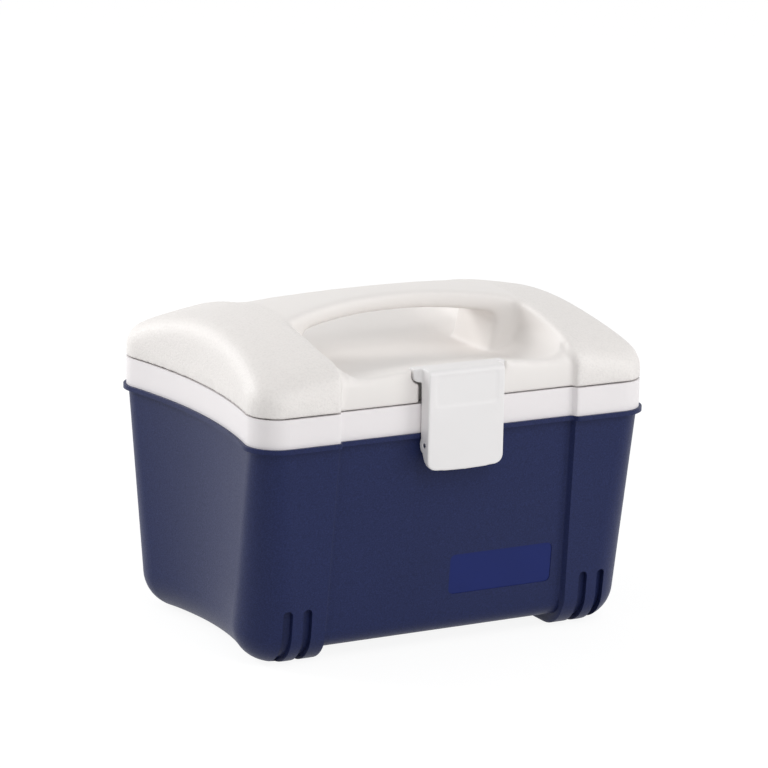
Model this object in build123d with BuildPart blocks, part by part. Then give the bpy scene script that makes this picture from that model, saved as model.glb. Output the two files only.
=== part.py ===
from build123d import *
import math
import os

# Small insulated carrier: moulded shell, foam, liner, hinged lid with a bridging handle, and a front latch.
# Millimetres. X runs along the length, Y from the front (-Y, latch side) to the rear, Z up.
# The origin is at the centre of the base, at the height of the feet.

os.makedirs("parts", exist_ok=True)

# ---------------------------------------------------------------- driving dimensions
# Plan outline at the lip: half length, half depth, corner radius and how far the ends curve inwards.
LIP_LENGTH = 300.0
LIP_DEPTH = 228.0
LIP_CORNER = 22.5
END_WAIST = 10.0
LIP_PROUD = 3.8          # lip beyond the wall below it
LIP_TOP = 155.2
LIP_THICKNESS = 3.0
LIP_NOTCH = 2.0          # how far the lip's notch cuts into the wall behind it
RIM_INSET = 2.1          # white rim and lid skirt, in from the lip
RIM_TOP = 174.7
LID_BOTTOM = 175.2

# Body below the lip.
BASE_HALF_LENGTH = 143.4
BASE_HALF_DEPTH = 96.6
BASE_CORNER = 32.0
BASE_WAIST = 7.8
BASE_ROUND = 26.0        # edge under the end walls
PANEL_STEP = 4.6         # centre panels lie this far behind the corner blocks
PANEL_ROUND = 14.0
PANEL_HALF_WIDTH = 89.0
STEP_WIDTH = 6.0
STEP_SPREAD = 3.0        # the steps stand this much further apart at the base
STEP_ROUND = 5.0         # soft inner corners of the steps
FOOT_ROUND = 4.0         # inner lower edges of the feet
UNDERSIDE_RISE = 8.7     # centre of the base above the feet
SHELL_WALL = 3.0

# Cavity and liner.
CAVITY_TOP = (128.0, 90.0, 20.0, 5.0)
CAVITY_BASE = (121.0, 78.0, 18.0, 4.0)
CAVITY_FLOOR = 29.0
CAVITY_ROUND = 10.0
LINER_WALL = 2.0
RIM_WALL = 2.4
RIM_DECK = 3.0

# Lid.
CROWN_TOP = 229.7
CROWN_ARCH = 664.0       # radius of the crown along X
CROWN_DROPS = ((0, 0), (52, 5.0), (82, 11.8), (97, 17.2), (112, 27.0))   # (Y, fall below the top)
CROWN_END = (1.0, -0.85)
LID_ROUND = 14.0
LID_WALL = 3.0
SCOOP_FLOOR = 185.8      # lowest point of the scoops, under the handle
SCOOP_RISE = 14.0        # how much the scoops climb to the front and rear faces
SCOOP_HALF_WIDTH = 88.2
SCOOP_SIDE_ROUND = 20.0
HANDLE_HALF_WIDTH = 16.0
HANDLE_END_HALF_WIDTH = 31.0
HANDLE_END_X = 83.0
HANDLE_UNDERSIDE = 216.6
UNDERSIDE_ARCH = 480.0
SCOOP_CORNER_ROUND = 9.0
HAND_HALF_LENGTH = 76.0
HAND_FOOT_HALF_LENGTH = 68.0
HAND_CORNER_ROUND = 6.0
GRIP_HALF_LENGTH = 60.0
GRIP_HALF_WIDTH = 9.0
GRIP_DEPTH = 6.0
PLUG_TOP = (125.6, 87.6, 18.0, 5.0)
PLUG_BOTTOM_Z = 165.0
LID_PLATE_Z = 175.5
LID_PLATE_THICKNESS = 2.0
SEAL_OUTER = (133.5, 95.0, 22.0, 6.5)
SEAL_WIDTH = 4.0
SEAL_GROOVE = 1.0
SEAL_GAP = 0.05
PLUG_WALL = 2.0
PLUG_ROUND = 4.0
LID_SCREWS = ((135.3, 62.0), (135.3, -62.0), (-135.3, 62.0), (-135.3, -62.0))
LID_BOSS_RADIUS = 4.5
LID_SCREW_HEAD = 2.6
LID_SCREW_SINK = 1.4
LID_SCREW_TIP_Z = 189.0
RIDGE_ROUND = 3.5
UNDERSIDE_ROUND = 3.5
RIDGE_FALL = 13.0        # lowest ridge, below the handle's underside
UNDERSIDE_FALL = 9.0     # ends of the underside, below its middle

# Latch.
LATCH_HALF_WIDTH = 28.4
LATCH_FRONT = -119.0
LATCH_TOP = 198.9
LATCH_BOTTOM = 131.4
LATCH_WALL = 2.5
LATCH_PIN_Y = -113.0
LATCH_PIN_Z = 147.6
LATCH_PIN_RADIUS = 1.5
LATCH_LUG_RADIUS = 2.6
LUG_INNER_X = 19.5
LUG_WIDTH = 5.5
LUG_ROOT_Y = -105.0
LUG_ROOT_Z = 139.6
LATCH_POCKET_BACK = -100.0
LATCH_POCKET_HALF_WIDTH = 29.6
LATCH_CHEEK_TOP_Y = -107.9
LATCH_CHEEK_Y = -108.6
LATCH_BOSS_RADIUS = 5.7
LATCH_HEAD_BACK = -101.0
LATCH_HEAD_Z = 189.0     # underside of the head that reaches over the lid's front
LATCH_HEAD_WALL = 2.5
LATCH_EDGE_ROUND = 3.5
LATCH_FOOT_ROUND = 6.0
LATCH_PANEL_HALF_WIDTH = 23.5
LATCH_PANEL_Z = (173.9, 195.6)
LATCH_PANEL_SUNK = 0.4
LATCH_PANEL_CORNER = 3.0
LATCH_FOOT_ARCH = 1.8    # how far the lower edge bows down in the middle
EAR_HALF_WIDTH = 34.0    # small wings of the latch head, let into the lid's front
EAR_Z = 189.6
EAR_FRONT = -108.2
EAR_CORNER = 4.0
EAR_GAP = 1.2

# Rear hinges.
HINGE_X = 58.0
HINGE_Y = 115.0
HINGE_Z = 175.0
HINGE_RADIUS = 4.0
HINGE_HALF_WIDTH = 20.0
HINGE_KNUCKLE_HALF = 8.0
HINGE_GAP = 0.4
HINGE_PIN_RADIUS = 1.5
HINGE_LEAF = 2.5
HINGE_LEAF_NEAR = 4.5    # leaf edge nearest to the axis, measured in Z
HINGE_LEAF_FAR = 17.5
HINGE_LEAF_CENTRE = 7.0  # the leaf stops here between the knuckles of the other leaf
HINGE_WEB = 10.0         # where the web to the knuckle leaves the leaf
RUNNING_CLEARANCE = 0.05
HINGE_SCREW_X = 13.0
HINGE_SCREW_Z = 14.0
SCREW_RADIUS = 1.25
SCREW_BITE = 2.3         # length of thread past the leaf
SCREW_HEAD_RADIUS = 2.8
SCREW_HEAD_HEIGHT = 1.6

# Badge, slots and plugs.
BADGE_CENTRE_X = 42.2
BADGE_CENTRE_Z = 50.7
BADGE_LENGTH = 79.4
BADGE_HEIGHT = 28.3
BADGE_CORNER = 4.0
BADGE_POCKET = 1.0
BADGE_THICKNESS = 0.6
SLOT_X = (106.0, 120.3)
SLOT_WIDTH = 6.5
SLOT_TOP = 41.4
SLOT_DEPTH = 3.5
FILL_PLUG_X = 55.0
FILL_PLUG_RADIUS = 8.0
FILL_PLUG_RIM = 3.0
FILL_PLUG_FLANGE = 1.5

LIP_BOTTOM = LIP_TOP - LIP_THICKNESS
LIP_HALF_LENGTH = LIP_LENGTH / 2
LIP_HALF_DEPTH = LIP_DEPTH / 2
LIP_OUTLINE = (LIP_HALF_LENGTH, LIP_HALF_DEPTH, LIP_CORNER, END_WAIST)
BODY_TOP = (LIP_HALF_LENGTH - LIP_PROUD, LIP_HALF_DEPTH - LIP_PROUD, LIP_CORNER - LIP_PROUD, END_WAIST)
BODY_BASE = (BASE_HALF_LENGTH, BASE_HALF_DEPTH, BASE_CORNER, BASE_WAIST)
RIM = (LIP_HALF_LENGTH - RIM_INSET, LIP_HALF_DEPTH - RIM_INSET, LIP_CORNER - RIM_INSET, END_WAIST)
RIM_PANEL_Y = RIM[1] - PANEL_STEP
STEP_SLOPE = STEP_WIDTH / PANEL_STEP
CUT_REACH = 20.0         # how far cutting blocks run past the surface they cut
DRAFT = (BODY_TOP[1] - BODY_BASE[1]) / LIP_BOTTOM


# ---------------------------------------------------------------- shared profiles
def waisted_edges(half_length, half_depth, corner, waist):
    """Edges of a plan outline: straight front and rear, round corners, ends curved inwards."""
    corner_x = half_length - corner
    corner_y = half_depth - corner
    end_radius = (waist**2 + corner_y**2) / (2 * waist) - corner
    end_x = half_length - waist + end_radius
    turn = math.atan2(corner_y, end_x - corner_x)
    join = (corner_x + corner * math.cos(turn), -corner_y + corner * math.sin(turn))
    half_turn = (turn - math.pi / 2) / 2
    middle = (corner_x + corner * math.cos(half_turn), -corner_y + corner * math.sin(half_turn))
    with BuildLine() as edges:
        Line((0, -half_depth), (corner_x, -half_depth))
        ThreePointArc((corner_x, -half_depth), middle, join)
        ThreePointArc(join, (half_length - waist, 0), (join[0], -join[1]))
        ThreePointArc((join[0], -join[1]), (middle[0], -middle[1]), (corner_x, half_depth))
        Line((corner_x, half_depth), (0, half_depth))
        mirror(about=Plane.YZ)
    return edges.edges()


def inset(outline, distance):
    """The same outline, a wall thickness further in."""
    half_length, half_depth, corner, waist = outline
    return (half_length - distance, half_depth - distance, max(corner - distance, 2.0), waist)


def panel_inset(outline, distance):
    """An outline that stays inside the stepped centre panels as well."""
    half_length, half_depth, corner, waist = inset(outline, distance)
    return (half_length, half_depth - PANEL_STEP, corner, waist)


def between(top, base, share):
    """An outline on the way from the top one down to the base one."""
    return tuple(t + (b - t) * share for t, b in zip(top, base))


def step_corners(panel_y, half_width):
    """Trapezium in front of a centre panel, whose sides are the sloping steps."""
    wide = half_width - STEP_WIDTH / 2 + STEP_SLOPE * CUT_REACH
    narrow = half_width - STEP_WIDTH / 2
    far_y = -panel_y - CUT_REACH
    return [(-narrow, -panel_y), (narrow, -panel_y), (wide, far_y), (-wide, far_y)]


def stepped_plan(outline, panel_y, half_width):
    """Plan outline with the centre panels set back behind soft steps, front and rear."""
    with BuildSketch() as plan:
        make_face(waisted_edges(*outline))
        Polygon(*step_corners(panel_y, half_width), align=None, mode=Mode.SUBTRACT)
        mirror(plan.sketch, about=Plane.XZ, mode=Mode.INTERSECT)
        step_ends = [v for v in plan.vertices() if abs(abs(v.X) - half_width) < STEP_WIDTH]
        fillet(step_ends, STEP_ROUND)
    return plan.sketch


def panel_y(z):
    """Depth of the centre panels' faces at a height on the drafted body."""
    return BODY_TOP[1] - PANEL_STEP - DRAFT * (LIP_BOTTOM - z)


def panel_half_width(z):
    """The steps stand slightly further apart towards the base."""
    return PANEL_HALF_WIDTH + STEP_SPREAD * (LIP_BOTTOM - z) / LIP_BOTTOM


def drafted_block(top, base, top_z, base_z, base_round):
    """Solid between two plan outlines, with its lower edge rounded."""
    with BuildPart() as block:
        with BuildSketch(Plane.XY.offset(base_z)):
            make_face(waisted_edges(*base))
        with BuildSketch(Plane.XY.offset(top_z)):
            make_face(waisted_edges(*top))
        loft(ruled=True)
        fillet(block.faces().sort_by(Axis.Z)[0].edges(), base_round)
    return block.part


# ---------------------------------------------------------------- body shell
# Core that the centre panels follow: drafted faces and a rounded lower edge.
with BuildPart() as panel_core:
    with BuildSketch(Plane.YZ):
        core_top = LIP_TOP + CUT_REACH
        Polygon(
            (-panel_y(core_top), core_top),
            (-panel_y(UNDERSIDE_RISE), UNDERSIDE_RISE),
            (panel_y(UNDERSIDE_RISE), UNDERSIDE_RISE),
            (panel_y(core_top), core_top),
            align=None,
        )
        lower_corners = vertices().group_by(Axis.Y)[0]
        fillet(lower_corners, PANEL_ROUND)
    extrude(amount=LIP_HALF_LENGTH, both=True)

# Everything in front of, behind and under that core, between the corner blocks.
with BuildPart() as panel_cutter:
    cutter_base = -CUT_REACH
    for cut_z in (cutter_base, LIP_BOTTOM):
        with BuildSketch(Plane.XY.offset(cut_z)):
            Polygon(*step_corners(panel_y(cut_z), panel_half_width(cut_z)), align=None)
            fillet(vertices().group_by(Axis.Y)[-1], STEP_ROUND)
    loft(ruled=True)
    mirror(about=Plane.XZ)
    with BuildSketch(Plane.XY.offset(cutter_base)):
        Rectangle(2 * panel_half_width(0) - STEP_WIDTH, LIP_DEPTH)
    extrude(amount=UNDERSIDE_RISE + PANEL_ROUND - cutter_base)
    add(panel_core.part, mode=Mode.SUBTRACT)

void_top = panel_inset(BODY_TOP, SHELL_WALL)
void_base = panel_inset(between(BODY_TOP, BODY_BASE, 1 - UNDERSIDE_RISE / LIP_BOTTOM), SHELL_WALL)
shell_void = drafted_block(void_top, void_base, LIP_TOP, UNDERSIDE_RISE + SHELL_WALL, BASE_ROUND - 5.0)

# Two round-topped slots in each foot, a constant depth below the foot's surface.
with BuildPart() as foot_slots:
    with BuildSketch(Plane.XZ):
        for slot_x in SLOT_X:
            for side in (-1, 1):
                with Locations((side * slot_x, 0)):
                    SlotOverall(2 * SLOT_TOP, SLOT_WIDTH, rotation=90)
    extrude(amount=LIP_HALF_DEPTH, both=True)
    with BuildSketch(Plane.XY.offset(-SLOT_TOP - 1)):
        Rectangle(LIP_LENGTH, 2 * (BASE_HALF_DEPTH - BASE_ROUND + 4))
    extrude(amount=2 * SLOT_TOP + 2, mode=Mode.SUBTRACT)
    slot_floor = drafted_block(inset(BODY_TOP, SLOT_DEPTH), inset(BODY_BASE, SLOT_DEPTH), LIP_BOTTOM,
                               SLOT_DEPTH, BASE_ROUND - SLOT_DEPTH)
    add(slot_floor, mode=Mode.SUBTRACT)

badge_normal = (0, -math.cos(math.atan(DRAFT)), -math.sin(math.atan(DRAFT)))
badge_plane = Plane(origin=(BADGE_CENTRE_X, -panel_y(BADGE_CENTRE_Z), BADGE_CENTRE_Z), x_dir=(1, 0, 0),
                    z_dir=badge_normal)

with BuildPart() as outer_shell:
    add(drafted_block(BODY_TOP, BODY_BASE, LIP_BOTTOM, 0.0, BASE_ROUND))
    add(panel_cutter.part, mode=Mode.SUBTRACT)
    add(foot_slots.part, mode=Mode.SUBTRACT)
    with BuildSketch(Plane.XY.offset(LIP_BOTTOM)):
        add(stepped_plan(LIP_OUTLINE, LIP_HALF_DEPTH - PANEL_STEP, PANEL_HALF_WIDTH))
    extrude(amount=LIP_THICKNESS)
    # The lip stops at the latch, whose cheeks pass it.
    notch_depth = LIP_PROUD + LIP_NOTCH
    with Locations((0, -BODY_TOP[1] + PANEL_STEP - notch_depth / 2, LIP_BOTTOM + LIP_THICKNESS / 2)):
        Box(2 * LATCH_POCKET_HALF_WIDTH, notch_depth, LIP_THICKNESS, mode=Mode.SUBTRACT)
    # Two lugs carry the latch pin, just below the lip.
    with BuildSketch(Plane.YZ.offset(LUG_INNER_X)):
        with BuildLine():
            lug_nose = CenterArc((LATCH_PIN_Y, LATCH_PIN_Z), LATCH_LUG_RADIUS, 90, 180)
            Line(lug_nose @ 0, (LUG_ROOT_Y, LIP_BOTTOM))
            Line((LUG_ROOT_Y, LIP_BOTTOM), (LUG_ROOT_Y, LUG_ROOT_Z))
            Line((LUG_ROOT_Y, LUG_ROOT_Z), lug_nose @ 1)
        make_face()
    lugs = extrude(amount=LUG_WIDTH)
    mirror(lugs, about=Plane.YZ)
    with Locations(Location((0, LATCH_PIN_Y, LATCH_PIN_Z), (0, 90, 0))):
        Cylinder(LATCH_PIN_RADIUS, 2 * LATCH_HALF_WIDTH, mode=Mode.SUBTRACT)
    add(shell_void, mode=Mode.SUBTRACT)
    with BuildSketch(badge_plane):
        RectangleRounded(BADGE_LENGTH, BADGE_HEIGHT, BADGE_CORNER)
    extrude(amount=-BADGE_POCKET, mode=Mode.SUBTRACT)
    with Locations((-FILL_PLUG_X, 0, UNDERSIDE_RISE), (FILL_PLUG_X, 0, UNDERSIDE_RISE)):
        Cylinder(FILL_PLUG_RADIUS, 2 * SHELL_WALL, mode=Mode.SUBTRACT)
    # The feet's inner lower edges are rounded.
    foot_edges = [e for e in edges().filter_by(Axis.Y) if abs(e.center().Z) < SHELL_WALL
                  and abs(abs(e.center().X) - PANEL_HALF_WIDTH) < STEP_WIDTH]
    fillet(foot_edges, FOOT_ROUND)

with BuildPart() as badge_plate:
    with BuildSketch(badge_plane.offset(-BADGE_POCKET)):
        RectangleRounded(BADGE_LENGTH, BADGE_HEIGHT, BADGE_CORNER)
    extrude(amount=BADGE_THICKNESS)

with BuildPart() as base_fill_plugs:
    with Locations((-FILL_PLUG_X, 0), (FILL_PLUG_X, 0)):
        with Locations((0, 0, UNDERSIDE_RISE)):
            Cylinder(FILL_PLUG_RADIUS, SHELL_WALL, align=(Align.CENTER, Align.CENTER, Align.MIN))
            Cylinder(FILL_PLUG_RADIUS + FILL_PLUG_RIM, FILL_PLUG_FLANGE, align=(Align.CENTER, Align.CENTER, Align.MAX))


# ---------------------------------------------------------------- hinge screws
def hinge_screws(z):
    """Four flat-headed screws that hold both hinges at one height."""
    places = [(side * HINGE_X + step * HINGE_SCREW_X, z) for side in (-1, 1) for step in (-1, 1)]
    with BuildPart() as screws:
        with BuildSketch(Plane.XZ.offset(-RIM_PANEL_Y - HINGE_LEAF)):
            with Locations(*places):
                Circle(SCREW_RADIUS)
        extrude(amount=HINGE_LEAF + SCREW_BITE)
        with BuildSketch(Plane.XZ.offset(-RIM_PANEL_Y - HINGE_LEAF)):
            with Locations(*places):
                Circle(SCREW_HEAD_RADIUS)
        extrude(amount=-SCREW_HEAD_HEIGHT)
        fillet(faces().group_by(Axis.Y)[-1].edges(), SCREW_HEAD_HEIGHT / 2)
    return screws.part


with BuildPart() as hinge_body_screws:
    add(hinge_screws(HINGE_Z - HINGE_SCREW_Z))

with BuildPart() as hinge_lid_screws:
    add(hinge_screws(HINGE_Z + HINGE_SCREW_Z))


# ---------------------------------------------------------------- liner and foam
cavity = drafted_block(CAVITY_TOP, CAVITY_BASE, RIM_TOP, CAVITY_FLOOR, CAVITY_ROUND)
tub_outside = drafted_block(inset(CAVITY_TOP, -LINER_WALL), inset(CAVITY_BASE, -LINER_WALL), RIM_TOP,
                            CAVITY_FLOOR - LINER_WALL, CAVITY_ROUND + LINER_WALL)

with BuildPart() as inner_liner:
    with BuildSketch(Plane.XY.offset(LIP_TOP)):
        add(stepped_plan(RIM, RIM_PANEL_Y, PANEL_HALF_WIDTH))
    extrude(amount=RIM_TOP - LIP_TOP)
    with BuildSketch(Plane.XY.offset(LIP_TOP)):
        make_face(waisted_edges(*panel_inset(RIM, RIM_WALL)))
    extrude(amount=RIM_TOP - RIM_DECK - LIP_TOP, mode=Mode.SUBTRACT)
    add(tub_outside)
    add(cavity, mode=Mode.SUBTRACT)
    add(hinge_body_screws.part, mode=Mode.SUBTRACT)

with BuildPart() as body_insulation:
    add(shell_void)
    with BuildSketch(Plane.XY.offset(LIP_TOP)):
        make_face(waisted_edges(*panel_inset(RIM, RIM_WALL)))
    extrude(amount=RIM_TOP - RIM_DECK - LIP_TOP)
    add(tub_outside, mode=Mode.SUBTRACT)
    add(inner_liner.part, mode=Mode.SUBTRACT)
    add(base_fill_plugs.part, mode=Mode.SUBTRACT)


# ---------------------------------------------------------------- lid
def crowned_block(outline, bottom, crown_top, edge_round):
    """Lid blank: plan outline up to a crown arched along X and Y, with its upper edge rounded."""
    with BuildPart() as block:
        with BuildSketch(Plane.XY.offset(bottom)):
            make_face(waisted_edges(*outline))
        extrude(amount=2 * (crown_top - bottom))
        with BuildSketch(Plane.YZ):
            with BuildLine():
                heights = [(y, crown_top - drop) for y, drop in CROWN_DROPS]
                profile = Spline(heights, tangents=[(1, 0), CROWN_END])
                Polyline(profile @ 1, ((profile @ 1).X, bottom - 10), (0, bottom - 10), (0, crown_top))
            make_face()
            mirror(about=Plane.YZ)
        revolve(axis=Axis((0, 0, crown_top - CROWN_ARCH), (0, 1, 0)), revolution_arc=360, mode=Mode.INTERSECT)
        fillet(block.faces().sort_by(Axis.Z)[-1].edges(), edge_round)
    return block.part


def scoop_dish(floor, half_width, side_round):
    """Everything above a dished floor between two side walls, with round floor corners."""
    sag = CROWN_ARCH - math.sqrt(CROWN_ARCH**2 - half_width**2)
    dish_radius = (RIM_PANEL_Y**2 + SCOOP_RISE**2) / (2 * SCOOP_RISE)
    wall_top = CROWN_TOP + CUT_REACH
    with BuildPart() as dish:
        with BuildSketch(Plane.XZ):
            with BuildLine():
                ThreePointArc((-half_width, floor - sag), (0, floor), (half_width, floor - sag))
                Polyline((half_width, floor - sag), (half_width, wall_top), (-half_width, wall_top),
                         (-half_width, floor - sag))
            make_face()
            fillet(vertices().group_by(Axis.Y)[0], side_round)
        revolve(axis=Axis((0, 0, floor + dish_radius), (1, 0, 0)), revolution_arc=360)
    return dish.part


handle_arc_radius = (HANDLE_END_X**2 + (HANDLE_END_HALF_WIDTH - HANDLE_HALF_WIDTH) ** 2) / (
    2 * (HANDLE_END_HALF_WIDTH - HANDLE_HALF_WIDTH)
)
scoop_corner_y = HANDLE_HALF_WIDTH + handle_arc_radius - math.sqrt(handle_arc_radius**2 - SCOOP_HALF_WIDTH**2)
underside_sag = UNDERSIDE_ARCH - math.sqrt(UNDERSIDE_ARCH**2 - HAND_HALF_LENGTH**2)

# Space taken out of the lid: a scoop in front of the handle, one behind it, and the hand gap between.
with BuildPart() as scoops:
    with BuildSketch(Plane.XY.offset(LID_BOTTOM)):
        with BuildLine():
            ThreePointArc((-SCOOP_HALF_WIDTH, -scoop_corner_y), (0, -HANDLE_HALF_WIDTH),
                          (SCOOP_HALF_WIDTH, -scoop_corner_y))
            Polyline((SCOOP_HALF_WIDTH, -scoop_corner_y), (SCOOP_HALF_WIDTH, -LIP_HALF_DEPTH),
                     (-SCOOP_HALF_WIDTH, -LIP_HALF_DEPTH), (-SCOOP_HALF_WIDTH, -scoop_corner_y))
        make_face()
        fillet(vertices().group_by(Axis.Y)[-1], SCOOP_CORNER_ROUND)
        mirror(about=Plane.XZ)
    extrude(amount=CROWN_TOP - LID_BOTTOM + CUT_REACH)
    with BuildSketch(Plane.XZ):
        with BuildLine():
            ThreePointArc((-HAND_HALF_LENGTH, HANDLE_UNDERSIDE - underside_sag), (0, HANDLE_UNDERSIDE),
                          (HAND_HALF_LENGTH, HANDLE_UNDERSIDE - underside_sag))
            Polyline((HAND_HALF_LENGTH, HANDLE_UNDERSIDE - underside_sag), (HAND_FOOT_HALF_LENGTH, LID_BOTTOM),
                     (-HAND_FOOT_HALF_LENGTH, LID_BOTTOM), (-HAND_HALF_LENGTH, HANDLE_UNDERSIDE - underside_sag))
        make_face()
        fillet(vertices().group_by(Axis.Y)[1:], HAND_CORNER_ROUND)
    extrude(amount=HANDLE_END_HALF_WIDTH + CUT_REACH, both=True)
    add(scoop_dish(SCOOP_FLOOR, SCOOP_HALF_WIDTH, SCOOP_SIDE_ROUND), mode=Mode.INTERSECT)


def lid_solid(distance):
    """The lid as one block, a wall thickness inside its outer surface."""
    with BuildPart() as block:
        with BuildSketch(Plane.XY.offset(LID_BOTTOM)):
            add(stepped_plan(inset(RIM, distance), RIM_PANEL_Y - distance, PANEL_HALF_WIDTH + distance))
        extrude(amount=CROWN_TOP - LID_BOTTOM)
        add(crowned_block(inset(RIM, distance), LID_BOTTOM, CROWN_TOP - distance, LID_ROUND - distance / 2),
            mode=Mode.INTERSECT)
    return block.part


def ear_outline(half_width, bottom, top, corner):
    """Front view of the latch head's ears: a bar with round lower corners."""
    with BuildSketch() as ears:
        with Locations((0, bottom)):
            Rectangle(2 * half_width, top - bottom, align=(Align.CENTER, Align.MIN))
        fillet(vertices().group_by(Axis.Y)[0], corner)
    return ears.sketch


def latch_pocket(wall):
    """Room for the latch head and its ears in the lid's front face."""
    depth = LIP_HALF_DEPTH + LATCH_POCKET_BACK + wall
    ear_gap = EAR_GAP + wall
    with BuildPart() as pocket:
        with BuildSketch(Plane.XZ.offset(-LATCH_POCKET_BACK - wall)):
            with Locations((0, LID_BOTTOM)):
                Rectangle(2 * (LATCH_POCKET_HALF_WIDTH + wall), CROWN_TOP - LID_BOTTOM,
                          align=(Align.CENTER, Align.MIN))
            add(ear_outline(EAR_HALF_WIDTH + ear_gap, EAR_Z - ear_gap, CROWN_TOP, EAR_CORNER + ear_gap))
        extrude(amount=depth)
    return pocket.part


def grip_band():
    """Arched strip let into the underside of the handle."""
    sag = UNDERSIDE_ARCH - math.sqrt(UNDERSIDE_ARCH**2 - GRIP_HALF_LENGTH**2)
    low_end = HANDLE_UNDERSIDE - sag
    with BuildPart() as band:
        with BuildSketch(Plane.XZ):
            with BuildLine():
                ThreePointArc((-GRIP_HALF_LENGTH, low_end), (0, HANDLE_UNDERSIDE), (GRIP_HALF_LENGTH, low_end))
                Line((GRIP_HALF_LENGTH, low_end), (GRIP_HALF_LENGTH, low_end + GRIP_DEPTH))
                ThreePointArc((GRIP_HALF_LENGTH, low_end + GRIP_DEPTH), (0, HANDLE_UNDERSIDE + GRIP_DEPTH),
                              (-GRIP_HALF_LENGTH, low_end + GRIP_DEPTH))
                Line((-GRIP_HALF_LENGTH, low_end + GRIP_DEPTH), (-GRIP_HALF_LENGTH, low_end))
            make_face()
        extrude(amount=GRIP_HALF_WIDTH, both=True)
    return band.part


def is_ridge(edge):
    """Edges where the crown breaks into the scoops, along the handle and the two end humps."""
    centre = edge.center()
    high = abs(centre.X) < SCOOP_HALF_WIDTH + 1 and centre.Z > HANDLE_UNDERSIDE - RIDGE_FALL
    return edge.geom_type == GeomType.BSPLINE and high and not is_underside(edge)


def is_underside(edge):
    """Lower edges of the handle."""
    centre = edge.center()
    below = HANDLE_UNDERSIDE - UNDERSIDE_FALL < centre.Z < HANDLE_UNDERSIDE + 1
    return edge.geom_type == GeomType.BSPLINE and abs(centre.X) < HAND_HALF_LENGTH and below


# Space inside the lid's walls.
with BuildPart() as lid_void:
    add(lid_solid(LID_WALL))
    add(scoop_dish(SCOOP_FLOOR - LID_WALL, SCOOP_HALF_WIDTH + LID_WALL, SCOOP_SIDE_ROUND - LID_WALL),
        mode=Mode.SUBTRACT)
    add(latch_pocket(LID_WALL), mode=Mode.SUBTRACT)
    with Locations(*[(x, y, LID_PLATE_Z + LID_PLATE_THICKNESS) for x, y in LID_SCREWS]):
        Cylinder(LID_BOSS_RADIUS, LIP_DEPTH, align=(Align.CENTER, Align.CENTER, Align.MIN), mode=Mode.SUBTRACT)


with BuildPart() as lid_liner_screws:
    with BuildSketch(Plane.XZ):
        Polygon((0, LID_PLATE_Z), (LID_SCREW_HEAD, LID_PLATE_Z), (SCREW_RADIUS, LID_PLATE_Z + LID_SCREW_SINK),
                (SCREW_RADIUS, LID_SCREW_TIP_Z), (0, LID_SCREW_TIP_Z), align=None)
    lid_screw = revolve(axis=Axis.Z, mode=Mode.PRIVATE)
    with Locations(*LID_SCREWS):
        add(lid_screw)

with BuildPart() as scooped_block:
    add(lid_solid(0.0))
    add(scoops.part, mode=Mode.SUBTRACT)
    fillet(edges().filter_by(is_ridge), RIDGE_ROUND)
    fillet(edges().filter_by(is_underside), UNDERSIDE_ROUND)

# The cover is symmetric, so its left half is hollowed and mirrored.
with BuildPart() as lid_cover:
    add(scooped_block.part)
    with Locations((-LIP_HALF_LENGTH, 0, CROWN_TOP)):
        Box(LIP_LENGTH, LIP_LENGTH, CROWN_TOP, mode=Mode.INTERSECT)
    add(lid_void.part, mode=Mode.SUBTRACT)
    add(latch_pocket(0.0), mode=Mode.SUBTRACT)
    add(grip_band(), mode=Mode.SUBTRACT)
    add(lid_liner_screws.part, mode=Mode.SUBTRACT)
    add(hinge_lid_screws.part, mode=Mode.SUBTRACT)
    mirror(about=Plane.YZ)

# ---------------------------------------------------------------- lid lining
lid_lining_top = LID_PLATE_Z + LID_PLATE_THICKNESS
plug_outside = drafted_block(PLUG_TOP, PLUG_TOP, lid_lining_top, PLUG_BOTTOM_Z, PLUG_ROUND)
plug_inside = drafted_block(inset(PLUG_TOP, PLUG_WALL), inset(PLUG_TOP, PLUG_WALL), lid_lining_top,
                            PLUG_BOTTOM_Z + PLUG_WALL, PLUG_ROUND - PLUG_WALL)

with BuildPart() as lid_seal:
    with BuildSketch(Plane.XY.offset(RIM_TOP + SEAL_GAP)):
        make_face(waisted_edges(*SEAL_OUTER))
        make_face(waisted_edges(*inset(SEAL_OUTER, SEAL_WIDTH)), mode=Mode.SUBTRACT)
    extrude(amount=LID_PLATE_Z + SEAL_GROOVE - RIM_TOP - SEAL_GAP)

with BuildPart() as lid_liner:
    with BuildSketch(Plane.XY.offset(LID_PLATE_Z)):
        add(stepped_plan(inset(RIM, LID_WALL), RIM_PANEL_Y - LID_WALL, PANEL_HALF_WIDTH + LID_WALL))
    extrude(amount=LID_PLATE_THICKNESS)
    add(latch_pocket(LID_WALL), mode=Mode.SUBTRACT)
    add(plug_outside)
    add(plug_inside, mode=Mode.SUBTRACT)
    add(lid_seal.part, mode=Mode.SUBTRACT)
    add(lid_liner_screws.part, mode=Mode.SUBTRACT)

with BuildPart() as lid_insulation:
    add(lid_void.part)
    with Locations((0, 0, lid_lining_top)):
        Box(LIP_LENGTH, LIP_LENGTH, LIP_LENGTH, align=(Align.CENTER, Align.CENTER, Align.MIN),
            mode=Mode.INTERSECT)
    add(plug_inside)

with BuildPart() as handle_grip:
    add(grip_band())


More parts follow.
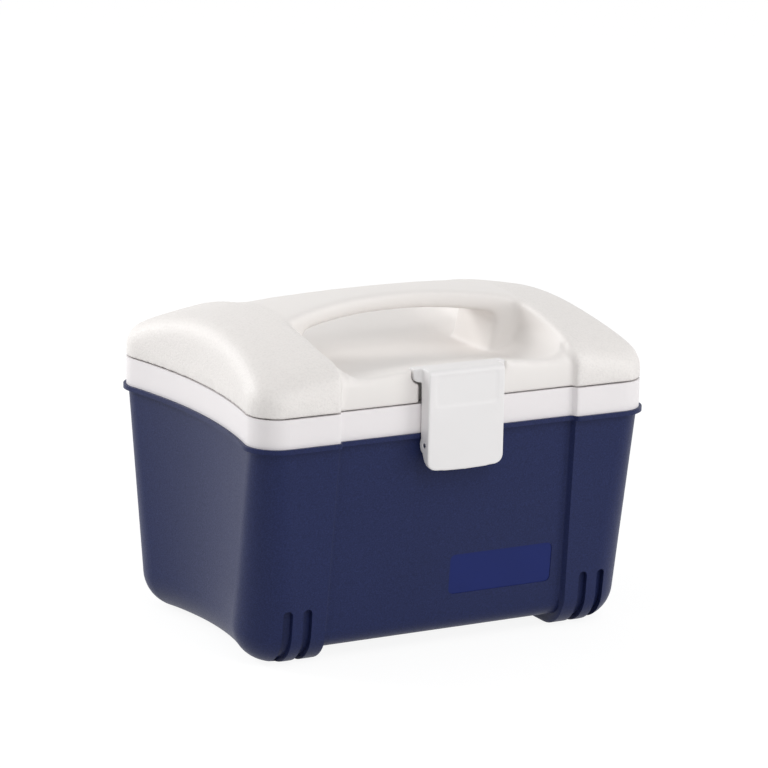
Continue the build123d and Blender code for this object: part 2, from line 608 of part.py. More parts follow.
# ---------------------------------------------------------------- latch
with BuildPart() as latch:
    cheek_x = LATCH_HALF_WIDTH - LATCH_WALL
    plate_back = LATCH_FRONT + LATCH_WALL
    with BuildSketch(Plane.YZ):
        Polygon(
            (LATCH_FRONT, LATCH_BOTTOM),
            (LATCH_FRONT, LATCH_TOP),
            (LATCH_HEAD_BACK, LATCH_TOP),
            (LATCH_HEAD_BACK, LATCH_HEAD_Z),
            (LATCH_CHEEK_TOP_Y, LATCH_HEAD_Z),
            (LATCH_CHEEK_Y, LATCH_PIN_Z),
            (plate_back, LATCH_BOTTOM),
            align=None,
        )
        with Locations((LATCH_PIN_Y, LATCH_PIN_Z)):
            Circle(LATCH_BOSS_RADIUS)
    extrude(amount=LATCH_HALF_WIDTH, both=True)
    front = faces().group_by(Axis.Y)[0]
    fillet(front.edges().filter_by(Axis.X).group_by(Axis.Z)[-1], LATCH_EDGE_ROUND)
    with BuildSketch(Plane.XZ.offset(-LATCH_HEAD_BACK)):
        with BuildLine():
            foot_side = LATCH_BOTTOM + LATCH_FOOT_ARCH
            ThreePointArc((-LATCH_HALF_WIDTH, foot_side), (0, LATCH_BOTTOM), (LATCH_HALF_WIDTH, foot_side))
            Polyline((LATCH_HALF_WIDTH, foot_side), (LATCH_HALF_WIDTH, LATCH_TOP), (-LATCH_HALF_WIDTH, LATCH_TOP),
                     (-LATCH_HALF_WIDTH, foot_side))
        make_face()
        fillet(vertices().group_by(Axis.Y)[0], LATCH_FOOT_ROUND)
    extrude(amount=-LATCH_FRONT + LATCH_HEAD_BACK, mode=Mode.INTERSECT)
    with BuildSketch(Plane.XZ.offset(-LATCH_HEAD_BACK)):
        add(ear_outline(EAR_HALF_WIDTH, EAR_Z, LATCH_TOP, EAR_CORNER))
    extrude(amount=LATCH_HEAD_BACK - EAR_FRONT)
    # Hollow behind the front plate, open at the back below the head.
    hollow_top = LATCH_TOP - LATCH_HEAD_WALL
    hollow_back = LATCH_HEAD_BACK - LATCH_HEAD_WALL
    with Locations((0, plate_back, hollow_top)):
        Box(2 * cheek_x, hollow_back - plate_back, hollow_top - LATCH_BOTTOM,
            align=(Align.CENTER, Align.MIN, Align.MAX), mode=Mode.SUBTRACT)
    with Locations((0, plate_back, LATCH_HEAD_Z)):
        Box(2 * cheek_x, LATCH_HEAD_BACK - plate_back, LATCH_HEAD_Z - LATCH_BOTTOM,
            align=(Align.CENTER, Align.MIN, Align.MAX), mode=Mode.SUBTRACT)
    with BuildSketch(Plane.XZ.offset(-LATCH_FRONT)):
        with Locations((0, sum(LATCH_PANEL_Z) / 2)):
            RectangleRounded(2 * LATCH_PANEL_HALF_WIDTH, LATCH_PANEL_Z[1] - LATCH_PANEL_Z[0], LATCH_PANEL_CORNER)
    extrude(amount=-LATCH_PANEL_SUNK, mode=Mode.SUBTRACT)
    with Locations(Location((0, LATCH_PIN_Y, LATCH_PIN_Z), (0, 90, 0))):
        Cylinder(LATCH_PIN_RADIUS + RUNNING_CLEARANCE, 3 * LATCH_HALF_WIDTH, mode=Mode.SUBTRACT)

with BuildPart() as latch_pin:
    with Locations(Location((0, LATCH_PIN_Y, LATCH_PIN_Z), (0, 90, 0))):
        Cylinder(LATCH_PIN_RADIUS, 2 * LATCH_HALF_WIDTH)


# ---------------------------------------------------------------- rear hinges
def hinge_leaf(centre_x, side, knuckles, bore):
    """One leaf with its knuckles: side is -1 for the body's leaf and 1 for the lid's."""
    axis_height = HINGE_Z
    near = axis_height + side * HINGE_LEAF_NEAR
    far = axis_height + side * HINGE_LEAF_FAR
    web = axis_height + side * HINGE_WEB
    back = RIM_PANEL_Y + HINGE_LEAF
    reach = math.dist((back, web), (HINGE_Y, axis_height))
    climb = math.atan2(HINGE_WEB, HINGE_Y - back) - math.asin(HINGE_RADIUS / reach)
    tangent = math.sqrt(reach**2 - HINGE_RADIUS**2)
    web_end = (back + tangent * math.cos(climb), web - side * tangent * math.sin(climb))
    with BuildPart() as leaf:
        with BuildSketch(Plane.XZ.offset(-back)):
            with Locations((centre_x, (near + far) / 2)):
                RectangleRounded(2 * HINGE_HALF_WIDTH, HINGE_LEAF_FAR - HINGE_LEAF_NEAR, HINGE_LEAF)
        extrude(amount=HINGE_LEAF)
        for start, end in knuckles:
            with BuildSketch(Plane.YZ.offset(centre_x + start)):
                Polygon((RIM_PANEL_Y, web), (back, web), web_end, (HINGE_Y, axis_height),
                        (HINGE_Y - HINGE_RADIUS, axis_height + side * HINGE_GAP), (RIM_PANEL_Y, near), align=None)
                with Locations((HINGE_Y, axis_height)):
                    Circle(HINGE_RADIUS)
            extrude(amount=end - start)
        if side < 0:
            with Locations((centre_x, RIM_PANEL_Y, axis_height - HINGE_LEAF_CENTRE)):
                Box(2 * (HINGE_KNUCKLE_HALF + HINGE_GAP), 2 * HINGE_LEAF, HINGE_LEAF_CENTRE,
                    align=(Align.CENTER, Align.CENTER, Align.MIN), mode=Mode.SUBTRACT)
        with Locations(Location((centre_x, HINGE_Y, axis_height), (0, 90, 0))):
            Cylinder(bore, 4 * HINGE_HALF_WIDTH, mode=Mode.SUBTRACT)
    return leaf.part


outer_knuckles = (
    (-HINGE_HALF_WIDTH, -HINGE_KNUCKLE_HALF - HINGE_GAP),
    (HINGE_KNUCKLE_HALF + HINGE_GAP, HINGE_HALF_WIDTH),
)
inner_knuckle = ((-HINGE_KNUCKLE_HALF, HINGE_KNUCKLE_HALF),)

with BuildPart() as left_hinge_body_leaf:
    add(hinge_leaf(-HINGE_X, -1, outer_knuckles, HINGE_PIN_RADIUS))
    add(hinge_body_screws.part, mode=Mode.SUBTRACT)

with BuildPart() as right_hinge_body_leaf:
    add(hinge_leaf(HINGE_X, -1, outer_knuckles, HINGE_PIN_RADIUS))
    add(hinge_body_screws.part, mode=Mode.SUBTRACT)

with BuildPart() as left_hinge_lid_leaf:
    add(hinge_leaf(-HINGE_X, 1, inner_knuckle, HINGE_PIN_RADIUS + RUNNING_CLEARANCE))
    add(hinge_lid_screws.part, mode=Mode.SUBTRACT)

with BuildPart() as right_hinge_lid_leaf:
    add(hinge_leaf(HINGE_X, 1, inner_knuckle, HINGE_PIN_RADIUS + RUNNING_CLEARANCE))
    add(hinge_lid_screws.part, mode=Mode.SUBTRACT)

with BuildPart() as left_hinge_pin:
    with Locations(Location((-HINGE_X, HINGE_Y, HINGE_Z), (0, 90, 0))):
        Cylinder(HINGE_PIN_RADIUS, 2 * HINGE_HALF_WIDTH)

with BuildPart() as right_hinge_pin:
    with Locations(Location((HINGE_X, HINGE_Y, HINGE_Z), (0, 90, 0))):
        Cylinder(HINGE_PIN_RADIUS, 2 * HINGE_HALF_WIDTH)


# ---------------------------------------------------------------- export
outer_shell.part.label = "outer_shell"
export_step(outer_shell.part, "parts/outer_shell.step")
base_fill_plugs.part.label = "base_fill_plugs"
export_step(base_fill_plugs.part, "parts/base_fill_plugs.step")
badge_plate.part.label = "badge_plate"
export_step(badge_plate.part, "parts/badge_plate.step")
body_insulation.part.label = "body_insulation"
export_step(body_insulation.part, "parts/body_insulation.step")
inner_liner.part.label = "inner_liner"
export_step(inner_liner.part, "parts/inner_liner.step")
lid_cover.part.label = "lid_cover"
export_step(lid_cover.part, "parts/lid_cover.step")
handle_grip.part.label = "handle_grip"
export_step(handle_grip.part, "parts/handle_grip.step")
lid_insulation.part.label = "lid_insulation"
export_step(lid_insulation.part, "parts/lid_insulation.step")
lid_liner.part.label = "lid_liner"
export_step(lid_liner.part, "parts/lid_liner.step")
lid_seal.part.label = "lid_seal"
export_step(lid_seal.part, "parts/lid_seal.step")
lid_liner_screws.part.label = "lid_liner_screws"
export_step(lid_liner_screws.part, "parts/lid_liner_screws.step")
latch.part.label = "latch"
export_step(latch.part, "parts/latch.step")
latch_pin.part.label = "latch_pin"
export_step(latch_pin.part, "parts/latch_pin.step")
left_hinge_body_leaf.part.label = "left_hinge_body_leaf"
export_step(left_hinge_body_leaf.part, "parts/left_hinge_body_leaf.step")
right_hinge_body_leaf.part.label = "right_hinge_body_leaf"
export_step(right_hinge_body_leaf.part, "parts/right_hinge_body_leaf.step")
left_hinge_lid_leaf.part.label = "left_hinge_lid_leaf"
export_step(left_hinge_lid_leaf.part, "parts/left_hinge_lid_leaf.step")
right_hinge_lid_leaf.part.label = "right_hinge_lid_leaf"
export_step(right_hinge_lid_leaf.part, "parts/right_hinge_lid_leaf.step")
left_hinge_pin.part.label = "left_hinge_pin"
export_step(left_hinge_pin.part, "parts/left_hinge_pin.step")
right_hinge_pin.part.label = "right_hinge_pin"
export_step(right_hinge_pin.part, "parts/right_hinge_pin.step")
hinge_body_screws.part.label = "hinge_body_screws"
export_step(hinge_body_screws.part, "parts/hinge_body_screws.step")
hinge_lid_screws.part.label = "hinge_lid_screws"
export_step(hinge_lid_screws.part, "parts/hinge_lid_screws.step")
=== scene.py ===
import math

import bpy
from mathutils import Matrix, Vector


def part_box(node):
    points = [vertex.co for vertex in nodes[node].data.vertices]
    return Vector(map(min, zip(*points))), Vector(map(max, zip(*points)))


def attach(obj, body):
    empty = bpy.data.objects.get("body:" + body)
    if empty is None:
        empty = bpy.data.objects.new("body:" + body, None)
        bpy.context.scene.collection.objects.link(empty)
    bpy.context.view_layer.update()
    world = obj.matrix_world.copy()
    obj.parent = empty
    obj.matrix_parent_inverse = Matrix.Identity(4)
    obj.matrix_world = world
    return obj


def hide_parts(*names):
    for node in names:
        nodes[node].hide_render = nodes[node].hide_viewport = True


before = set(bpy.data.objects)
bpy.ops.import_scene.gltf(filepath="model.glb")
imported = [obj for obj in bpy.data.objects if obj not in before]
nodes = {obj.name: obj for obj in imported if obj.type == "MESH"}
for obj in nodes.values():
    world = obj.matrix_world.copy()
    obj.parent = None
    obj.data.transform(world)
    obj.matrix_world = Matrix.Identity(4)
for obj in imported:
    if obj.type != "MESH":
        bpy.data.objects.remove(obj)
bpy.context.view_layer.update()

scene = bpy.context.scene
scene.view_settings.view_transform = "Standard"

# ---------------------------------------------------------------- camera
# The view is from the front left, slightly above, with a long lens and a small tilt.
AZIMUTH = math.radians(-28.769)
ELEVATION = math.radians(13.47)
DISTANCE = 2.5662
TARGET = Vector((0.00249, 0.0, 0.16157))
FOCAL_PX = 3734.0
FRAME_PX = 768.0
ROLL = 0.0198

camera_data = bpy.data.cameras.new("camera")
camera_data.sensor_width = 36.0
camera_data.lens = FOCAL_PX / FRAME_PX * camera_data.sensor_width
camera = bpy.data.objects.new("camera", camera_data)
scene.collection.objects.link(camera)
away = Vector((math.sin(AZIMUTH) * math.cos(ELEVATION),
               -math.cos(AZIMUTH) * math.cos(ELEVATION),
               math.sin(ELEVATION)))
camera.matrix_world = (Matrix.Translation(TARGET + DISTANCE * away)
                       @ away.to_track_quat("Z", "Y").to_matrix().to_4x4()
                       @ Matrix.Rotation(ROLL, 4, "Z"))
scene.camera = camera


# ---------------------------------------------------------------- material helpers
def srgb(r, g, b):
    """Linear colour of a screen colour given as 0 to 255."""
    def linear(v):
        v /= 255
        return v / 12.92 if v <= 0.04045 else ((v + 0.055) / 1.055) ** 2.4
    return (linear(r), linear(g), linear(b), 1.0)


class Build:
    """A short way to write a node material."""

    def __init__(self, name):
        self.material = bpy.data.materials.new(name)
        self.material.use_nodes = True
        self.tree = self.material.node_tree
        self.tree.nodes.clear()
        self.output = self.add("ShaderNodeOutputMaterial")
        self.shader = self.add("ShaderNodeBsdfPrincipled")
        self.link(self.shader.outputs["BSDF"], self.output.inputs["Surface"])

    def add(self, kind, **settings):
        node = self.tree.nodes.new(kind)
        for key, value in settings.items():
            setattr(node, key, value)
        return node

    def link(self, a, b):
        self.tree.links.new(a, b)

    def place(self):
        """Object coordinates, which are the row frame in metres."""
        return self.add("ShaderNodeTexCoord").outputs["Object"]

    def noise(self, scale, detail=2.0, roughness=0.5):
        node = self.add("ShaderNodeTexNoise")
        node.inputs["Scale"].default_value = scale
        node.inputs["Detail"].default_value = detail
        node.inputs["Roughness"].default_value = roughness
        self.link(self.place(), node.inputs["Vector"])
        return node.outputs["Fac"]

    def ramp(self, fac, stops):
        node = self.add("ShaderNodeValToRGB")
        ramp = node.color_ramp
        while len(ramp.elements) < len(stops):
            ramp.elements.new(0.5)
        for element, (at, colour) in zip(ramp.elements, stops):
            element.position = at
            element.color = colour
        self.link(fac, node.inputs["Fac"])
        return node.outputs["Color"]

    def bump(self, height, distance, strength=1.0, normal=None):
        node = self.add("ShaderNodeBump")
        node.inputs["Strength"].default_value = strength
        node.inputs["Distance"].default_value = distance
        self.link(height, node.inputs["Height"])
        if normal is not None:
            self.link(normal, node.inputs["Normal"])
        return node.outputs["Normal"]


def grey(v):
    """Linear grey of a given brightness."""
    return (v, v, v, 1.0)


def mixed(colour, amount):
    """A colour made lighter or darker by a share."""
    return (min(colour[0] * amount, 1), min(colour[1] * amount, 1), min(colour[2] * amount, 1), 1.0)


def plastic(name, colour, roughness, grain=900.0, grain_depth=0.00004, variation=0.05, specular=0.5):
    """Moulded plastic: slight tone variation, fine grain in the bump and in the gloss."""
    b = Build(name)
    tone = b.noise(22.0, 3.0)
    b.link(b.ramp(tone, [(0.3, mixed(colour, 1 - variation)), (0.7, mixed(colour, 1 + variation))]),
           b.shader.inputs["Base Color"])
    fine = b.noise(grain, 2.0, 0.6)
    gloss = b.ramp(fine, [(0.3, grey(roughness - 0.05)), (0.7, grey(roughness + 0.07))])
    b.link(gloss, b.shader.inputs["Roughness"])
    b.link(b.bump(fine, grain_depth), b.shader.inputs["Normal"])
    b.shader.inputs["Specular IOR Level"].default_value = specular
    return b.material


def speckled_shell(name, colour, roughness):
    """Blow-moulded shell: satin surface with a fine speckle in colour, gloss and bump."""
    b = Build(name)
    fine = b.noise(1100.0, 2.0, 0.65)
    broad = b.noise(9.0, 3.0)
    mix = b.add("ShaderNodeMix", data_type="RGBA", blend_type="MULTIPLY")
    mix.inputs[0].default_value = 1.0
    speckle = b.ramp(fine, [(0.32, mixed(colour, 0.80)), (0.5, colour), (0.70, mixed(colour, 1.28))])
    b.link(speckle, mix.inputs[6])
    b.link(b.ramp(broad, [(0.3, grey(0.94)), (0.7, grey(1.0))]), mix.inputs[7])
    b.link(mix.outputs[2], b.shader.inputs["Base Color"])
    b.shader.inputs["Specular IOR Level"].default_value = SHELL_SPECULAR
    gloss = b.ramp(fine, [(0.3, grey(roughness + 0.08)), (0.7, grey(roughness - 0.05))])
    b.link(gloss, b.shader.inputs["Roughness"])
    b.link(b.bump(fine, 0.00008), b.shader.inputs["Normal"])
    return b.material


def sanded_lid(name, colour, roughness):
    """Lid plastic: smooth in the middle, sand-cast grain on the two end humps."""
    b = Build(name)
    tone = b.noise(14.0, 3.0)
    split = b.add("ShaderNodeSeparateXYZ")
    b.link(b.place(), split.inputs[0])
    side = b.add("ShaderNodeMath", operation="ABSOLUTE")
    b.link(split.outputs["X"], side.inputs[0])
    mask = b.add("ShaderNodeMapRange")
    mask.interpolation_type = "SMOOTHSTEP"
    mask.inputs["From Min"].default_value = GRAIN_START
    mask.inputs["From Max"].default_value = GRAIN_START + GRAIN_BLEND
    b.link(side.outputs[0], mask.inputs["Value"])
    sand = b.noise(620.0, 3.0, 0.7)
    depth = b.add("ShaderNodeMath", operation="MULTIPLY")
    b.link(sand, depth.inputs[0])
    b.link(mask.outputs[0], depth.inputs[1])
    fine = b.noise(1400.0, 2.0, 0.5)
    tint = b.add("ShaderNodeMix", data_type="RGBA", blend_type="MULTIPLY")
    b.link(mask.outputs[0], tint.inputs[0])
    b.link(b.ramp(tone, [(0.3, mixed(colour, 0.985)), (0.7, mixed(colour, 1.01))]), tint.inputs[6])
    b.link(b.ramp(sand, [(0.3, grey(0.93)), (0.55, grey(1.0))]), tint.inputs[7])
    b.link(tint.outputs[2], b.shader.inputs["Base Color"])
    gloss = b.ramp(fine, [(0.3, grey(roughness - 0.04)), (0.7, grey(roughness + 0.06))])
    b.link(gloss, b.shader.inputs["Roughness"])
    b.link(b.bump(depth.outputs[0], 0.00035, 1.0, b.bump(fine, 0.00002)), b.shader.inputs["Normal"])
    return b.material


# The humps' grain starts at this distance from the lid's middle, and comes in over this width.
GRAIN_START = 0.0875
GRAIN_BLEND = 0.003
SHELL_SPECULAR = 0.16
NAVY = srgb(33, 41, 80)
navy = speckled_shell("navy_shell", NAVY, 0.42)
navy_smooth = plastic("navy_plug", NAVY, 0.4, specular=SHELL_SPECULAR)
band_white = plastic("band_white", srgb(235, 231, 232), 0.38, variation=0.01)
lid_white = sanded_lid("lid_white", srgb(236, 232, 229), 0.45)
latch_white = plastic("latch_white", srgb(233, 231, 231), 0.34, variation=0.01)
badge_blue = plastic("badge_blue", srgb(24, 37, 98), 0.35, variation=0.04, specular=SHELL_SPECULAR)
grip_pale = plastic("grip_pale", srgb(222, 218, 214), 0.6, grain=500.0, grain_depth=0.0001)
seal_grey = plastic("seal_grey", srgb(190, 190, 190), 0.7)
foam = plastic("foam", srgb(240, 232, 205), 0.9, grain=300.0, grain_depth=0.0003)
steel = plastic("steel", srgb(170, 170, 174), 0.3, grain=1500.0, variation=0.03)
for node in steel.node_tree.nodes:
    if node.type == "BSDF_PRINCIPLED":
        node.inputs["Metallic"].default_value = 1.0

finish = {
    "outer_shell": navy, "base_fill_plugs": navy_smooth, "badge_plate": badge_blue, "body_insulation": foam,
    "inner_liner": band_white, "lid_cover": lid_white, "handle_grip": grip_pale, "lid_insulation": foam,
    "lid_liner": band_white, "lid_seal": seal_grey, "lid_liner_screws": steel, "latch": latch_white,
    "latch_pin": steel, "left_hinge_body_leaf": latch_white, "right_hinge_body_leaf": latch_white,
    "left_hinge_lid_leaf": latch_white, "right_hinge_lid_leaf": latch_white, "left_hinge_pin": steel,
    "right_hinge_pin": steel, "hinge_body_screws": steel, "hinge_lid_screws": steel,
}
for name, material in finish.items():
    data = nodes[name].data
    data.materials.clear()
    data.materials.append(material)

# ---------------------------------------------------------------- softened mouldings
def eased(value):
    """Smooth step of a share from 0 to 1."""
    value = min(max(value, 0.0), 1.0)
    return value * value * (3 - 2 * value)


def bake(piece):
    """Write the modifiers into the mesh."""
    depsgraph = bpy.context.evaluated_depsgraph_get()
    depsgraph.update()
    mesh = bpy.data.meshes.new_from_object(piece.evaluated_get(depsgraph), preserve_all_data_layers=True,
                                           depsgraph=depsgraph)
    old = piece.data
    piece.modifiers.clear()
    piece.data = mesh
    bpy.data.meshes.remove(old)


def smoothing(piece, name, iterations, group=""):
    """Add a pass that evens out the mesh, over all of it or by a vertex group."""
    modifier = piece.modifiers.new(name, "SMOOTH")
    modifier.factor = 0.5
    modifier.iterations = iterations
    modifier.vertex_group = group


def even_copy(node_name, piece_name, voxel):
    """A copy of a node as an even mesh."""
    piece = bpy.data.objects.new(piece_name, nodes[node_name].data.copy())
    scene.collection.objects.link(piece)
    remesh = piece.modifiers.new("even", "REMESH")
    remesh.mode = "VOXEL"
    remesh.voxel_size = voxel
    bake(piece)
    return piece


def softened(node_name, piece_name, voxel, share, level_passes, passes, kept, reshape=None):
    """A copy of a node whose creases flow into each other as moulded ones do.

    share gives how freely they flow, place by place, and kept is the share of the faces that stay.
    """
    piece = even_copy(node_name, piece_name, voxel)
    if reshape:
        places = [reshape(vertex.co, vertex.normal) for vertex in piece.data.vertices]
        for vertex, place in zip(piece.data.vertices, places):
            vertex.co = place
    soft = piece.vertex_groups.new(name="soft")
    fine = piece.vertex_groups.new(name="fine")
    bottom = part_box(node_name)[0][2]
    for vertex in piece.data.vertices:
        soft.add([vertex.index], share(vertex.co), "REPLACE")
        fine.add([vertex.index], 1.0 if vertex.co.z > bottom + 2 * voxel else 0.0, "REPLACE")
    smoothing(piece, "level", level_passes, "fine")
    smoothing(piece, "flow", passes, "soft")
    thin = piece.modifiers.new("thin", "DECIMATE")
    thin.ratio = kept
    bake(piece)
    piece.vertex_groups.clear()
    return piece


def dress(piece, node_name, body, material, smooth=True):
    """The piece stands in for a node: it rides on the node's body and has its material."""
    if smooth:
        piece.data.shade_smooth()
    piece.data.materials.clear()
    piece.data.materials.append(material)
    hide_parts(node_name)
    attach(piece, body)


# The lid's cover. Nothing flows at the seam and at the latch pocket.
LID_VOXEL = 0.0014
SEAM_KEPT = 0.1815
SEAM_BLEND = 0.012
POCKET_HALF_WIDTH = 0.037
POCKET_BACK = -0.098
POCKET_BLEND = 0.006

# Less flows on the handle, and little at the humps' edges near the front and the rear.
HUMP_X = 0.0882
HANDLE_HALF_DEPTH = 0.036
HANDLE_SHARE = 0.42
HANDLE_BLEND = (0.012, 0.008)
HUMP_EDGE_FROM = 0.078
HUMP_EDGE_OVER = 0.02
HUMP_EDGE_HALF_WIDTH = 0.011
HUMP_EDGE_BLEND = 0.004
HUMP_EDGE_SHARE = 0.1


def lid_share(place):
    """How freely the lid's cover flows at a place."""
    share = eased((place.z - SEAM_KEPT) / SEAM_BLEND)
    beside = max(abs(place.x) - POCKET_HALF_WIDTH, place.y - POCKET_BACK)
    share *= eased(beside / POCKET_BLEND)
    along_handle = eased((HUMP_X - abs(place.x)) / HANDLE_BLEND[0])
    along_handle *= eased((HANDLE_HALF_DEPTH - abs(place.y)) / HANDLE_BLEND[1])
    share *= 1 - (1 - HANDLE_SHARE) * along_handle
    hump_edge = eased((HUMP_EDGE_HALF_WIDTH - abs(abs(place.x) - HUMP_X)) / HUMP_EDGE_BLEND)
    hump_edge *= eased((abs(place.y) - HUMP_EDGE_FROM) / HUMP_EDGE_OVER)
    return share * (1 - (1 - HUMP_EDGE_SHARE) * hump_edge)


# The steps beside the centre panels, front and rear. They spread towards the base.
STEP_X = 0.089
STEP_SPREAD = 0.003
STEP_HALF = 0.003
STEP_SHARE = 0.35
STEP_REACH = 0.009
LIP_Z = 0.1522
NARROW_BELOW = 0.192


def narrower(place):
    """The steps stand steeper: their foot and their edge move towards each other."""
    place = place.copy()
    middle = STEP_X + STEP_SPREAD * max(LIP_Z - place.z, 0.0) / LIP_Z
    off = abs(place.x) - middle
    if abs(off) < STEP_REACH:
        drawn_out = (STEP_REACH - STEP_HALF * STEP_SHARE) / (STEP_REACH - STEP_HALF)
        closer = min(abs(off), STEP_HALF) * STEP_SHARE + max(abs(off) - STEP_HALF, 0.0) * drawn_out
        place.x = math.copysign(middle + math.copysign(closer, off), place.x)
    return place


# The crown, as the CAD has it: an arc along X, and a fall towards the front and the rear.
CROWN_TOP = 0.2297
CROWN_ARCH = 0.664
CROWN_CURVE = 1.75
CROWN_SHOULDER = (0.005, 0.112, 14)
SLOPE_STEP = 0.001
FRONT_ROUND = 0.014
ROUND_CENTRE = (0.0979, 0.1957)
LID_WALL = 0.003
FACES_DOWN = -0.2

# Between the humps the cover is capped below the crown. The cap comes in over these distances, X then Y.
PANEL_STEP = 0.0046
HUMP_MARGIN = 0.001
CAP_FROM = (0.037, 0.045)
CAP_OVER = (0.012, 0.030)

# The latch pocket's side walls move inwards by this much.
POCKET_SIDE = (0.029, 0.0302)
POCKET_CLOSER = 0.0005


def crown_drop(y):
    """How far the crown has fallen at a distance from the middle line."""
    fall, at, power = CROWN_SHOULDER
    return CROWN_CURVE * y**2 + fall * (y / at) ** power


def cap_height(side, depth, z, below):
    """Height of a surface this far below the crown. z tells whether the place is beside the rounded edge."""
    sag = CROWN_ARCH - math.sqrt(CROWN_ARCH**2 - side**2)
    slope = math.atan((crown_drop(depth + SLOPE_STEP) - crown_drop(depth)) / SLOPE_STEP)
    height = CROWN_TOP - crown_drop(depth + below * math.sin(slope)) - sag - below * math.cos(slope)
    out = depth - ROUND_CENTRE[0]
    up = z + sag - ROUND_CENTRE[1]
    if out > 0 and up > 0:
        reach = FRONT_ROUND - below
        height = min(height, ROUND_CENTRE[1] - sag + math.sqrt(max(reach**2 - out**2, 0.0)))
    return height


def lid_reshape(place, normal):
    """Between the humps the cover stays a step below them right up to its front and rear edges."""
    place = place.copy()
    side = abs(place.x)
    depth = abs(place.y)
    if POCKET_SIDE[0] < side < POCKET_SIDE[1] and place.y < POCKET_BACK:
        place.x -= math.copysign(POCKET_CLOSER, place.x)
    if side < HUMP_X - HUMP_MARGIN and depth > CAP_FROM[1]:
        below = PANEL_STEP + (LID_WALL if normal.z < FACES_DOWN else 0.0)
        height = cap_height(side, depth, place.z, below)
        if place.z > height:
            share = eased((side - CAP_FROM[0]) / CAP_OVER[0])
            share *= eased((depth - CAP_FROM[1]) / CAP_OVER[1])
            place.z += (height - place.z) * share
    return narrower(place) if place.z < NARROW_BELOW else place


lid_skin = softened("lid_cover", "lid_skin", LID_VOXEL, lid_share, level_passes=4, passes=70, kept=0.3,
                    reshape=lid_reshape)
dress(lid_skin, "lid_cover", "lid", lid_white)

# The shell and the rim keep their own faces and get the steeper steps.
for node_name, piece_name, slot, material in (("outer_shell", "shell_skin", "navy_shell", navy),
                                              ("inner_liner", "rim_skin", "white_band", band_white)):
    piece = bpy.data.objects.new(piece_name, nodes[node_name].data.copy())
    scene.collection.objects.link(piece)
    for vertex in piece.data.vertices:
        vertex.co = narrower(vertex.co)
    dress(piece, node_name, "body", material, smooth=False)

# The foam inside it stays a little clear of the cover.
FOAM_CLEARANCE = 0.0035
FOAM_VOXEL = 0.004
lid_foam = even_copy("lid_insulation", "lid_foam", FOAM_VOXEL)
smoothing(lid_foam, "level", 6)
inward = lid_foam.modifiers.new("inward", "DISPLACE")
inward.strength = -FOAM_CLEARANCE
inward.mid_level = 0.0
bake(lid_foam)
dress(lid_foam, "lid_insulation", "lid", foam)

# The latch: the edges of its front plate are rounded, and the plate is drawn out by what the rounding takes.
LATCH_VOXEL = 0.0006
LATCH_SHARE_Y = -0.1125
LATCH_SHARE_BLEND = 0.003
LATCH_WIDER = 1.012
LATCH_LONGER = 0.0014
LATCH_FOOT_Z = 0.150
LATCH_FOOT_BLEND = 0.02


def latch_share(place):
    """How freely the latch flows at a place: in front only."""
    return eased((LATCH_SHARE_Y - place.y) / LATCH_SHARE_BLEND)


latch_skin = softened("latch", "latch_skin", LATCH_VOXEL, latch_share, level_passes=2, passes=20, kept=0.35)
for vertex in latch_skin.data.vertices:
    vertex.co.x *= LATCH_WIDER
    vertex.co.z -= LATCH_LONGER * eased((LATCH_FOOT_Z - vertex.co.z) / LATCH_FOOT_BLEND)
dress(latch_skin, "latch", "latch", latch_white)

# ---------------------------------------------------------------- floor, light and world
FLOOR_HALF = 9.0
FLOOR_TONE = 0.80
FLOOR_GLOW = 1.12
FLOOR_GLOW_SHARE = 0.8
ROOM_LIGHT = 0.57


def background_rays(tree):
    """1 for the rays that show the white background: camera, mirror-like and see-through ones."""
    rays = tree.nodes.new("ShaderNodeLightPath")
    first = tree.nodes.new("ShaderNodeMath")
    first.operation = "MAXIMUM"
    both = tree.nodes.new("ShaderNodeMath")
    both.operation = "MAXIMUM"
    tree.links.new(rays.outputs["Is Camera Ray"], first.inputs[0])
    tree.links.new(rays.outputs["Is Glossy Ray"], first.inputs[1])
    tree.links.new(first.outputs[0], both.inputs[0])
    tree.links.new(rays.outputs["Is Transmission Ray"], both.inputs[1])
    return both.outputs[0]


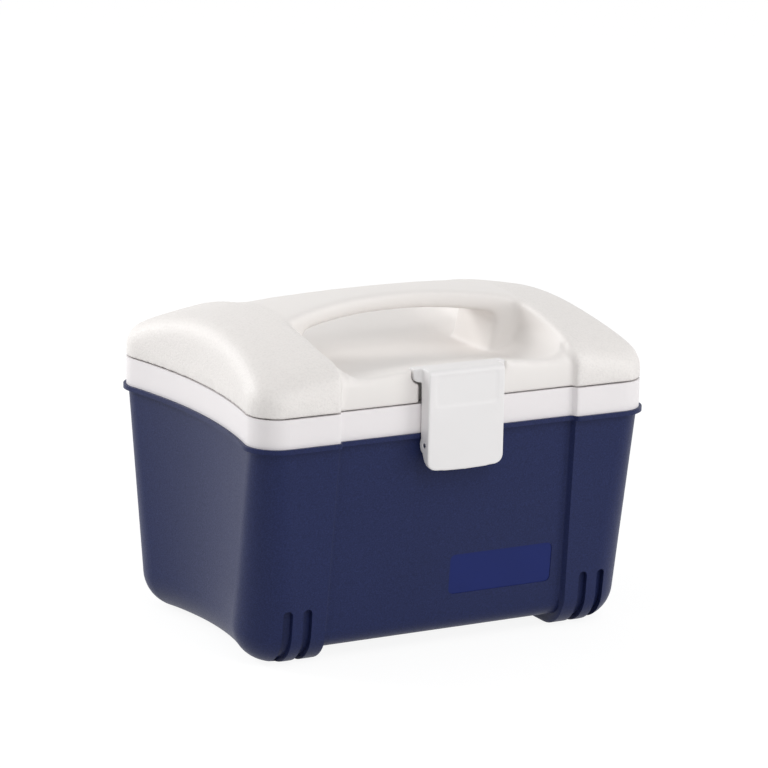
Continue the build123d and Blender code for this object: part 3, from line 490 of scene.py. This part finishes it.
floor_data = bpy.data.meshes.new("floor")
corners = [(-FLOOR_HALF, -FLOOR_HALF, 0), (FLOOR_HALF, -FLOOR_HALF, 0),
           (FLOOR_HALF, FLOOR_HALF, 0), (-FLOOR_HALF, FLOOR_HALF, 0)]
floor_data.from_pydata(corners, [], [(0, 1, 2, 3)])
floor = bpy.data.objects.new("floor", floor_data)
scene.collection.objects.link(floor)
ground = Build("floor_white")
ground.shader.inputs["Base Color"].default_value = grey(FLOOR_TONE)
ground.shader.inputs["Roughness"].default_value = 0.9
glow = ground.add("ShaderNodeEmission")
glow.inputs["Color"].default_value = grey(1.0)
glow.inputs["Strength"].default_value = FLOOR_GLOW
seen_floor = ground.add("ShaderNodeMixShader")
glow_share = ground.add("ShaderNodeMath", operation="MULTIPLY")
glow_share.inputs[1].default_value = FLOOR_GLOW_SHARE
ground.link(background_rays(ground.tree), glow_share.inputs[0])
ground.link(glow_share.outputs[0], seen_floor.inputs[0])
ground.link(ground.shader.outputs["BSDF"], seen_floor.inputs[1])
ground.link(glow.outputs["Emission"], seen_floor.inputs[2])
ground.link(seen_floor.outputs[0], ground.output.inputs["Surface"])
floor_data.materials.append(ground.material)

world = bpy.data.worlds.new("studio")
scene.world = world
world.use_nodes = True
tree = world.node_tree
tree.nodes.clear()
output = tree.nodes.new("ShaderNodeOutputWorld")
seen = tree.nodes.new("ShaderNodeBackground")
seen.inputs["Color"].default_value = grey(1.0)
lit = tree.nodes.new("ShaderNodeBackground")
lit.inputs["Color"].default_value = grey(1.0)
lit.inputs["Strength"].default_value = ROOM_LIGHT
choice = tree.nodes.new("ShaderNodeMixShader")
tree.links.new(background_rays(tree), choice.inputs["Fac"])
tree.links.new(lit.outputs[0], choice.inputs[1])
tree.links.new(seen.outputs[0], choice.inputs[2])
tree.links.new(choice.outputs[0], output.inputs["Surface"])


LIT_POINT = Vector((0, 0, 0.12))


def softbox(name, place, width, height, power):
    """Rectangular studio lamp that faces the object."""
    data = bpy.data.lights.new(name, "AREA")
    data.shape = "RECTANGLE"
    data.size = width
    data.size_y = height
    data.energy = power
    lamp = bpy.data.objects.new(name, data)
    scene.collection.objects.link(lamp)
    lamp.location = place
    lamp.rotation_euler = (Vector(place) - LIT_POINT).to_track_quat("Z", "Y").to_euler()


softbox("back_left", (-1.436, 1.436, 1.18), 0.9, 0.9, 23.0)
softbox("low_left", (-1.14, 1.98, 0.30), 0.9, 0.5, 4.0)
softbox("right_front", (1.59, -1.59, 0.58), 1.0, 1.0, 13.0)
softbox("front_high", (0.0, -1.63, 1.73), 1.0, 1.0, 10.0)
